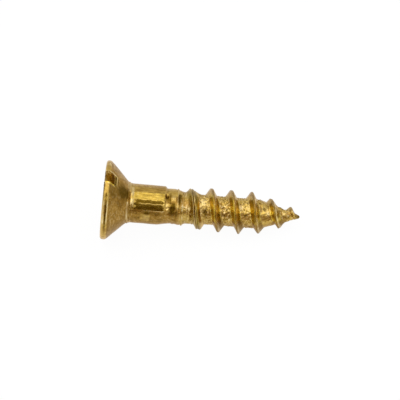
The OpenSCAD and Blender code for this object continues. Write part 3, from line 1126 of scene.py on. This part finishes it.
def brass_material():
    """Rolled brass: layers of colour by mask and noise, with the finest grain as bump."""
    material, n, shader = new_material("rolled_brass")
    where = n.along_screw()
    blotch = n.noise(where, 1.1, 3.0, 0.6)
    mottle = n.noise(where, 4.5, 4.0, 0.65)
    grain = n.noise(where, 6.5, 2.0, 0.6)
    along = n.noise(n.stretched(where, (1.2, 9.0, 9.0)), 1.0, 3.0, 0.6)
    around = n.noise(n.stretched(where, (9.0, 1.6, 1.6)), 1.0, 3.0, 0.6)
    sand, streaky, matt_and_shaded = n.mask("sandy"), n.mask("streaky"), n.mask("dull_and_shade")

    # The metal's own colour, in places, with painted shade where it is dull, a painted yellow
    # highlight and a painted grey reflection.
    uneven = n.plus(n.times(blotch, 0.7), n.times(mottle, 0.9))
    dull_and_shade = n.span(n.plus(n.times(matt_and_shaded, 0.55), uneven), 0.6, 1.2)
    base = n.colour(dull_and_shade, CLEAN_BRASS, DULL_AND_SHADED_BRASS)
    tone = n.noise(where, 2.4, 5.0, 0.65)
    brown = n.times(n.span(tone, 0.46, 0.62), n.span(matt_and_shaded, 0.2, 1.0, 0.25, 0.75))
    base = n.colour(brown, base, BROWN_BRASS)
    for name, tint in (
        ("sawn", SAWN_BRASS),
        ("olive", OLIVE_BRASS),
        ("yellow_highlight", YELLOW_HIGHLIGHT_BRASS),
        ("grey_reflection", GREY_REFLECTION_BRASS),
    ):
        base = n.colour(n.mask(name), base, tint)

    # Tarnish and painted shade over it, as the strongest of its layers.
    freckles = n.noise(where, 5.5, 3.0, 0.7)
    matt = n.math("MINIMUM", n.plus(matt_and_shaded, n.times(n.mask("grey_reflection"), 1.5)), 1.0)
    hollow = n.times(n.mask("hollow"), n.span(mottle, 0.25, 0.6, 0.5, 1.0))
    dark = n.times(n.mask("tarnish_and_shade"), n.span(mottle, 0.2, 0.7, 0.7, 1.25))
    for layer, weight in (
        (hollow, 0.5),
        (n.times(matt, n.span(freckles, 0.5, 0.66)), 0.45),
        (n.span(n.noise(where, 7.0, 3.0, 0.7), 0.6, 0.7), 0.3),
        (n.times(streaky, n.span(around, 0.49, 0.6)), 0.5),
        (n.times(n.mask("scored"), n.span(along, 0.48, 0.62)), 0.45),
        (n.times(sand, n.span(grain, 0.5, 0.64)), 0.55),
    ):
        dark = n.larger(dark, n.times(layer, weight))
    base = n.colour(dark, base, TARNISH_AND_SHADE_BROWN)

    # Rubbed places and painted highlights on top, as the strongest of theirs.
    worn_and_glinting = n.times(n.mask("rubbed_and_glinting"), n.span(mottle, 0.35, 0.6, 0.4, 0.9))
    for layer, weight in (
        (n.times(sand, n.span(grain, 0.48, 0.34)), 0.44),
        (n.times(matt, n.span(freckles, 0.46, 0.32)), 0.25),
        (n.times(streaky, n.span(around, 0.46, 0.35)), 0.42),
    ):
        worn_and_glinting = n.larger(worn_and_glinting, n.times(layer, weight))
    worn_and_glinting = n.times(worn_and_glinting, n.one_minus(n.times(n.mask("tarnish_and_shade"), 0.9)))
    n.feed(shader, "Base Color", n.colour(worn_and_glinting, base, RUBBED_AND_GLINT_BRASS))
    n.feed(shader, "Metallic", n.one_minus(n.times(n.mask("sawn"), 0.5)))
    n.feed(shader, "Specular Tint", EDGE_TINT)

    rough = n.span(mottle, 0.3, 0.7, 0.16, 0.26)
    for layer, weight in ((dark, 0.12), (matt_and_shaded, 0.1), (sand, 0.13), (n.mask("sawn"), 0.42)):
        rough = n.plus(rough, n.times(layer, weight))
    n.feed(shader, "Roughness", rough)

    relief = n.times(n.noise(where, 4.0, 1.0, 0.5), n.plus(1.2, n.times(sand, 3.4)))
    sandy_grain, cross_lines = n.times(grain, sand), n.times(around, streaky)
    for layer, weight in ((along, 0.4), (sandy_grain, 1.1), (cross_lines, 1.5)):
        relief = n.plus(relief, n.times(layer, weight))
    bump = n.new("Bump")
    n.feed(bump, "Height", relief)
    n.feed(bump, "Strength", 1.0)
    n.feed(bump, "Distance", BUMP_MM * MM)
    n.feed(shader, "Normal", bump.outputs["Normal"])
    return material


FLOOR_WHITE = (0.97, 0.97, 0.97, 1)
FLOOR_WHITE_SHARE = 0.96
CURTAIN_BROWN = (0.5, 0.38, 0.22, 1)


def floor_material():
    """A pale table that the camera and the metal see mostly as plain white."""
    material, n, shader = new_material("pale_table")
    n.feed(shader, "Base Color", FLOOR_WHITE)
    n.feed(shader, "Roughness", 0.9)
    n.feed(shader, "Specular IOR Level", 0.0)
    white = n.new("Emission")
    n.feed(white, "Strength", 1.0)
    path = n.new("LightPath")
    seen = n.larger(path.outputs["Is Camera Ray"], path.outputs["Is Glossy Ray"])
    seen = n.larger(seen, path.outputs["Is Transmission Ray"])
    mix = n.new("MixShader")
    n.feed(mix, 0, n.times(seen, FLOOR_WHITE_SHARE))
    n.feed(mix, 1, shader.outputs["BSDF"])
    n.feed(mix, 2, white.outputs["Emission"])
    n.feed(n.tree.nodes["Material Output"], "Surface", mix.outputs["Shader"])
    return material


def curtain_material():
    """Matt brown cloth."""
    material, n, shader = new_material("brown_curtain")
    n.feed(shader, "Base Color", CURTAIN_BROWN)
    n.feed(shader, "Roughness", 1.0)
    return material


# ---- Camera, table and light: lengths in metres, or in millimetres where the name says so ----
CAMERA_OFF_UP = math.radians(36.5)
CAMERA_ROLL = math.radians(4.85)
CAMERA_AWAY = 0.32
CAMERA_REACH = (0.01, 50)
SENSOR_MM = 36
FIELD_MM = 32.37
AIM_RIGHT_MM = -0.103
AIM_UP_MM = 0.708
TABLE_HALF = 3.0
SOFTBOX_TOWARD = (0.0, -0.06, 0.99)
SOFTBOX_AWAY = 0.5
SOFTBOX_SIZE = (1.2, 0.66)
SOFTBOX_LEVEL = 1.0
CURTAIN_AWAY = 0.7
CURTAIN_AZIMUTHS = (-136.0, -44.0)
CURTAIN_ELEVATIONS = (0.0, 40.0)
CURTAIN_CELLS = (24, 10)
WORLD_LEVEL = 0.84
SCREW_MIDDLE = FACE + AXIS * SCREW_L / 2 * MM


def make_camera():
    """A camera square to the screw's axis and rolled a little."""
    toward = UP * math.cos(CAMERA_OFF_UP) + SIDE * math.sin(CAMERA_OFF_UP)
    level = toward.cross(AXIS)
    right = AXIS * math.cos(CAMERA_ROLL) + level * math.sin(CAMERA_ROLL)
    up = level * math.cos(CAMERA_ROLL) - AXIS * math.sin(CAMERA_ROLL)
    aim = SCREW_MIDDLE + MM * (right * AIM_RIGHT_MM + up * AIM_UP_MM)
    lens = bpy.data.cameras.new("camera")
    lens.sensor_width = SENSOR_MM
    lens.lens = SENSOR_MM / 2 / (FIELD_MM / 2 * MM / CAMERA_AWAY)
    lens.clip_start, lens.clip_end = CAMERA_REACH
    camera = make_object("camera", lens)
    place = Matrix((right, up, toward)).transposed().to_4x4()
    place.translation = aim + toward * CAMERA_AWAY
    camera.matrix_world = place
    bpy.context.scene.camera = camera


def make_floor():
    """A table top under the screw."""
    half, low = TABLE_HALF, cad_box[0].z
    mesh = bpy.data.meshes.new("table_top")
    corners = ((-half, -half, low), (half, -half, low), (half, half, low), (-half, half, low))
    mesh.from_pydata(corners, [], [(0, 1, 2, 3)])
    mesh.materials.append(floor_material())
    make_object("table_top", mesh)


def make_softbox():
    """One large soft light above the screw."""
    light = bpy.data.lights.new("overhead_softbox", "AREA")
    light.shape = "RECTANGLE"
    light.size, light.size_y = SOFTBOX_SIZE
    light.energy = SOFTBOX_LEVEL * math.pi * SOFTBOX_SIZE[0] * SOFTBOX_SIZE[1]
    box = make_object("overhead_softbox", light)
    direction = Vector(SOFTBOX_TOWARD).normalized()
    box.location = SCREW_MIDDLE + direction * SOFTBOX_AWAY
    box.rotation_mode = "QUATERNION"
    box.rotation_quaternion = direction.to_track_quat("Z", "Y")


def make_curtain():
    """A brown curtain round the near side of the table, which the camera doesn't see."""
    columns, rows = CURTAIN_CELLS
    points = []
    for elevation in np.radians(np.linspace(*CURTAIN_ELEVATIONS, rows + 1)):
        for azimuth in np.radians(np.linspace(*CURTAIN_AZIMUTHS, columns + 1)):
            level = CURTAIN_AWAY * math.cos(elevation)
            points.append((level * math.cos(azimuth), level * math.sin(azimuth),
                           CURTAIN_AWAY * math.sin(elevation)))
    faces = []
    for j in range(rows):
        for i in range(columns):
            a = j * (columns + 1) + i
            faces.append((a, a + 1, a + columns + 2, a + columns + 1))
    mesh = bpy.data.meshes.new("dark_curtain")
    mesh.from_pydata(points, [], faces)
    mesh.materials.append(curtain_material())
    curtain = make_object("dark_curtain", mesh)
    curtain.visible_camera = False


def make_world():
    """A white world: plain white to the camera, a little less to everything else."""
    world = bpy.data.worlds.new("studio")
    bpy.context.scene.world = world
    world.use_nodes = True
    n = Nodes(world.node_tree)
    background = world.node_tree.nodes["Background"]
    n.feed(background, "Color", (1, 1, 1, 1))
    seen = n.new("LightPath").outputs["Is Camera Ray"]
    n.feed(background, "Strength", n.span(seen, 0.0, 1.0, WORLD_LEVEL, 1.0))


make_camera()
make_floor()
make_world()
make_softbox()
make_curtain()
bpy.context.scene.view_settings.view_transform = "Standard"

body = screw_body()
body.data.materials.append(brass_material())
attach(body, "root")
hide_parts("screw")
